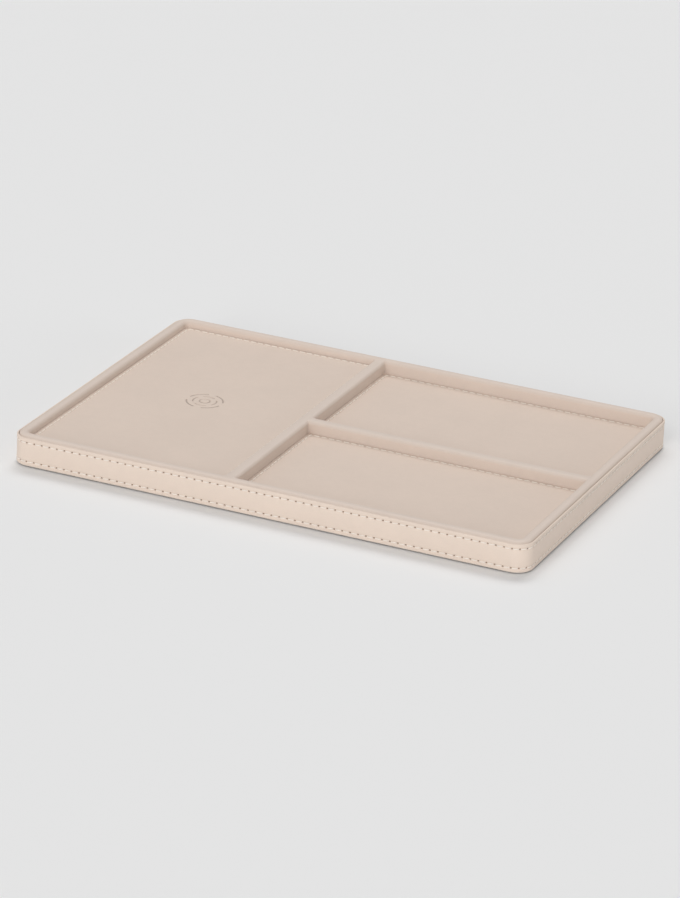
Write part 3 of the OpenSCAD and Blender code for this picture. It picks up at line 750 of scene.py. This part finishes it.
# ---------------------------------------------------------------- floors
def floor(name, xr, yr, z, round_corners, pitch, cad, thread_cad, seed, mark=False):
    cx, cy = (xr[0] + xr[1]) / 2, (yr[0] + yr[1]) / 2
    inset, r = 2.0, 1.2
    w, d = xr[1] - xr[0] - 2 * inset, yr[1] - yr[0] - 2 * inset
    total = ring_total(w, d, r)
    cols, near, holes, p = stitch_columns(total, pitch, 0.0, 2)
    # more columns round each corner, so that the floor reaches right into it
    a_, b_, q_ = w / 2 - r, d / 2 - r, math.pi * r / 2
    starts = np.array([a_, a_ + q_ + 2 * b_, 3 * a_ + 2 * q_ + 2 * b_, 3 * a_ + 3 * q_ + 4 * b_])
    more = (starts[:, None] + q_ * np.array([0.12, 0.31, 0.5, 0.69, 0.88])[None, :]).ravel()
    cols = np.asarray(cols, float) % total
    near = np.asarray(near, float)
    keep = np.abs(cols[:, None] - more[None, :]).min(1) > 0.02
    gap = np.abs(more[:, None] - np.asarray(holes, float)[None, :] % total)
    cols = np.concatenate([cols[keep], more])
    near = np.concatenate([near[keep], np.minimum(gap, total - gap).min(1)])
    order = np.argsort(cols)
    cols, near = cols[order], near[order]
    P, N, C, _ = ring(w, d, r, cols, cx, cy)
    # distance out to the floor's edge, squarer than the stitched line in the corners
    th = np.radians(np.where(C < 0, 0, C))
    e = r + inset
    # which corner: sign of the normal's parts
    capped = np.full(len(cols), 1.40)
    for i in range(len(cols)):
        if C[i] >= 0:
            q = (P[i, 0] > cx, P[i, 1] > cy)
            capped[i] = 1.09 if q in round_corners else 1.41
    reach = np.where(C < 0, e, e * np.minimum(1 / np.maximum(np.cos(th), np.sin(th)), capped)) - r + 0.11
    n_rows = np.array([-1.1, -0.85, -0.6, -0.4, -0.22, -0.08, 0.08, 0.22, 0.4, 0.6, 0.85, 1.1])
    fr = np.array([0.35, 0.62, 0.8, 0.9, 0.96, 1.0])
    drop = np.array([0.0, 0.0, 0.0, -0.01, -0.02, -0.03])
    ns = np.concatenate([np.repeat(n_rows[None, :], len(cols), 0), 1.1 + (reach[:, None] - 1.1) * fr[None, :]], 1)
    zr = z + np.concatenate([np.zeros(len(n_rows)), drop])
    zz = np.repeat(zr[None, :], len(cols), 0)
    rho2 = near[:, None] ** 2 + ns ** 2
    zz = zz - 0.30 * np.exp(-rho2 / 0.34 ** 2) - 0.06 * np.exp(-rho2 / 0.7 ** 2) - 0.11 * np.exp(-(ns / 0.6) ** 2)
    zz = zz + 0.03
    zz[:, 0] = z
    zz = np.minimum(zz, z)
    X = P[:, None, 0] + N[:, None, 0] * ns
    Y = P[:, None, 1] + N[:, None, 1] * ns
    J = ns.shape[1]
    V = np.stack([X, Y, zz], 2).reshape(-1, 3).tolist()
    F = grid_faces(len(cols), J, True, False, None, True)
    # skirt under the edge
    k0 = len(V)
    for i in range(len(cols)):
        x, y, _ = V[i * J + J - 1]
        V.append([x, y, z - 0.95])
    for i in range(len(cols)):
        i2 = (i + 1) % len(cols)
        F.append((i * J + J - 1, k0 + i, k0 + i2, i2 * J + J - 1))
    F.append(tuple(k0 + i for i in range(len(cols))))
    # the field inside the stitching
    loop = [i * J for i in range(len(cols))]
    pts = [Vector((V[q][0], V[q][1])) for q in loop]
    n1 = len(pts)
    edges = [(i, (i + 1) % n1) for i in range(n1)]
    disc_n = 0
    if mark:
        radii = np.concatenate([np.arange(0.5, 11.6, 0.17), [11.9, 12.3]])
        disc_n = 288
        for t in range(disc_n):
            a = 2 * math.pi * t / disc_n
            pts.append(Vector((MARK_X + radii[-1] * math.cos(a), radii[-1] * math.sin(a))))
        edges += [(n1 + t, n1 + (t + 1) % disc_n) for t in range(disc_n)]
        for rr_, kk in ((13.4, 96), (15.5, 64), (18.5, 48)):
            for t in range(kk):
                a = 2 * math.pi * (t + 0.5) / kk
                pts.append(Vector((MARK_X + rr_ * math.cos(a), rr_ * math.sin(a))))
    xs = np.arange(xr[0] + inset + 1.1 + 2.2, xr[1] - inset - 1.1 - 2.0, 4.4)
    ys = np.arange(yr[0] + inset + 1.1 + 2.2, yr[1] - inset - 1.1 - 2.0, 4.4)
    for a, x in enumerate(xs):
        for b, y in enumerate(ys):
            if mark and math.hypot(x - MARK_X, y) < 20.5:
                continue
            pts.append(Vector((x + (0.9 if b % 2 else -0.9), y)))
    cv, _, cf, ov = delaunay_2d_cdt(pts, edges, [], 0, 1e-6)[:4]
    ids = {}
    disc_ids = [None] * disc_n
    for k, v in enumerate(cv):
        src = [q for q in ov[k] if q < n1]
        if src:
            ids[k] = loop[src[0]]
        else:
            ids[k] = len(V)
            V.append([v[0], v[1], z])
            for q in ov[k]:
                if n1 <= q < n1 + disc_n:
                    disc_ids[q - n1] = ids[k]
    rim_pts = {k for k in range(len(cv)) if any(n1 <= q < n1 + disc_n for q in ov[k])}
    for f in cf:
        if all(q in rim_pts for q in f):
            continue
        gx, gy = sum(cv[q][0] for q in f) / 3, sum(cv[q][1] for q in f) / 3
        if mark and math.hypot(gx - MARK_X, gy) < 12.28:
            continue
        F.append(tuple(ids[q] for q in f))
    if mark:
        def depth(rad, a):
            """Pressed lines: two broken rings round a small whole one."""
            out = 0.0
            for lo, hi, parts, turn in ((9.75, 10.5, 4, 12), (6.25, 7.0, 4, 57), (2.6, 3.3, 0, 0)):
                edge = min(max((rad - lo) / 0.22 + 0.5, 0), 1) * min(max((hi - rad) / 0.22 + 0.5, 0), 1)
                if parts:
                    b = (math.degrees(a) - turn) % (360 / parts)
                    arc = min(b, 66 - b) * math.pi / 180 * (lo + hi) / 2
                    edge *= min(max(arc / 0.25 + 0.5, 0), 1)
                out = max(out, edge)
            return out
        rings_ = [disc_ids]
        for rad in radii[-2::-1]:
            row = []
            for t in range(disc_n):
                a = 2 * math.pi * t / disc_n
                row.append(len(V))
                soft = 0.10 * math.exp(-((rad - 8.4) / 3.0) ** 4)
                V.append([MARK_X + rad * math.cos(a), rad * math.sin(a), z - 0.42 * depth(rad, a)])
            rings_.append(row)
        pressed = set()
        for k_, (a_, b_) in enumerate(zip(rings_[:-1], rings_[1:])):
            mid_r = (radii[len(radii) - 1 - k_] + radii[len(radii) - 2 - k_]) / 2
            for t in range(disc_n):
                t2 = (t + 1) % disc_n
                if depth(mid_r, 2 * math.pi * (t + 0.5) / disc_n) > 0.55:
                    pressed.add(len(F))
                F.append((a_[t], a_[t2], b_[t2], b_[t]))
        c = len(V)
        V.append([MARK_X, 0.0, z])
        last = rings_[-1]
        for t in range(disc_n):
            F.append((last[t], last[(t + 1) % disc_n], c))
    ob = piece(name, V, F, M_FLOOR, [cad], more=(M_PRESSED,) if mark else (),
               index=[1 if k_ in pressed else 0 for k_ in range(len(F))] if mark else None)

    def place(s, out, across):
        q, n, _, _ = ring(w, d, r, s, cx, cy)
        xy = q + n * across[:, None]
        return np.column_stack([xy, z - 0.13 + out])
    stitches(name + "_stitches", place, holes, p, total, M_THREAD_FLOOR, [thread_cad], thick=0.32, lift=0.16, seed=seed)
    return ob


floor("pad_floor", PAD_X, PAD_Y, PAD_Z, {(False, False), (False, True)}, 4.4, "pad_leather", "pad_thread", 41, True)
floor("back_tray_floor", BACK_X, BACK_Y, TRAY_Z, {(True, True)}, 4.4, "back_tray_leather", "back_tray_thread", 42)
floor("front_tray_floor", FRONT_X, FRONT_Y, TRAY_Z, {(True, False)}, 4.4, "front_tray_leather", "front_tray_thread", 43)

# ---------------------------------------------------------------- camera
YAW, PITCH_, ROLL = math.radians(-23.05221 - 0.00662), math.radians(22.19118 - 0.00613), math.radians(2.89279)
FOCAL = 4672.3257                            # in pixels of the 680 by 898 frame
fwd = Vector((math.sin(YAW) * math.cos(PITCH_), math.cos(YAW) * math.cos(PITCH_), -math.sin(PITCH_)))
right = Vector((math.cos(YAW), -math.sin(YAW), 0.0))
up = right.cross(fwd)
r2 = right * math.cos(ROLL) + up * math.sin(ROLL)
u2 = -right * math.sin(ROLL) + up * math.cos(ROLL)
cam = bpy.data.cameras.new("camera")
cam.sensor_width = 36.0
cam.sensor_fit = "AUTO"
cam.lens = FOCAL / 898.0 * 36.0
cam.clip_start, cam.clip_end = 0.05, 60.0
cam.dof.use_dof = False
cam_ob = bpy.data.objects.new("camera", cam)
scene.collection.objects.link(cam_ob)
cam_ob.matrix_world = Matrix((
    (r2.x, u2.x, -fwd.x, 0.9218718), (r2.y, u2.y, -fwd.y, -2.1707920), (r2.z, u2.z, -fwd.z, 0.9645319), (0, 0, 0, 1)))
scene.camera = cam_ob

# ---------------------------------------------------------------- floor and light
me = bpy.data.meshes.new("ground")
S = 14.0
me.from_pydata([(-S, -S, 0), (S, -S, 0), (S, S, 0), (-S, S, 0)], [], [(0, 1, 2, 3)])
ground = bpy.data.objects.new("ground", me)
scene.collection.objects.link(ground)
g = Nodes("pale_floor")
gc = shade(lin(228, 228, 228), 1.1)
gn = g.noise(g.coords(), 3.0, 2.0, 0.5)
g.link(g.mix(gn, shade(gc, 0.998), shade(gc, 1.002)), g.b.inputs["Base Color"])
g.b.inputs["Roughness"].default_value = 0.95
g.b.inputs["Specular IOR Level"].default_value = 0.05
me.materials.append(g.m)

world = bpy.data.worlds.new("studio")
scene.world = world
world.use_nodes = True
wt = world.node_tree
bg = wt.nodes["Background"]
tc = wt.nodes.new("ShaderNodeTexCoord")
sep = wt.nodes.new("ShaderNodeSeparateXYZ")
wt.links.new(tc.outputs["Generated"], sep.inputs[0])


def wmath(op, a, b, c=None):
    n = wt.nodes.new("ShaderNodeMath")
    n.operation = op
    for i, v in enumerate((a, b, c)):
        if v is None:
            continue
        if isinstance(v, (int, float)):
            n.inputs[i].default_value = v
        else:
            wt.links.new(v, n.inputs[i])
    return n.outputs[0]


SKY = 0.385
bg.inputs["Color"].default_value = (1.0, 1.0, 1.0, 1.0)
bg.inputs["Strength"].default_value = SKY

# soft lights: two overhead from the back, two from the front and a low one from the right
for name_, way, size_, power in (("back_light", (0.15, -0.70, -1.0), 26, 0.854),
                                 ("left_light", (0.50, -0.50, -1.0), 26, 0.372),
                                 ("front_light", (0.0, 0.90, -0.50), 40, 1.050),
                                 ("low_front_light", (0.0, 0.98, -0.14), 24, 0.492),
                                 ("low_right_light", (-0.98, 0.0, -0.14), 24, 0.450)):
    sun = bpy.data.lights.new(name_, "SUN")
    sun.energy = power
    sun.angle = math.radians(size_)
    sun_ob = bpy.data.objects.new(name_, sun)
    scene.collection.objects.link(sun_ob)
    sun_ob.rotation_euler = Vector(way).normalized().to_track_quat("-Z", "Y").to_euler()

scene.view_settings.view_transform = "Standard"
scene.view_settings.look = "None"
scene.view_settings.exposure = 0.0
scene.view_settings.gamma = 1.0
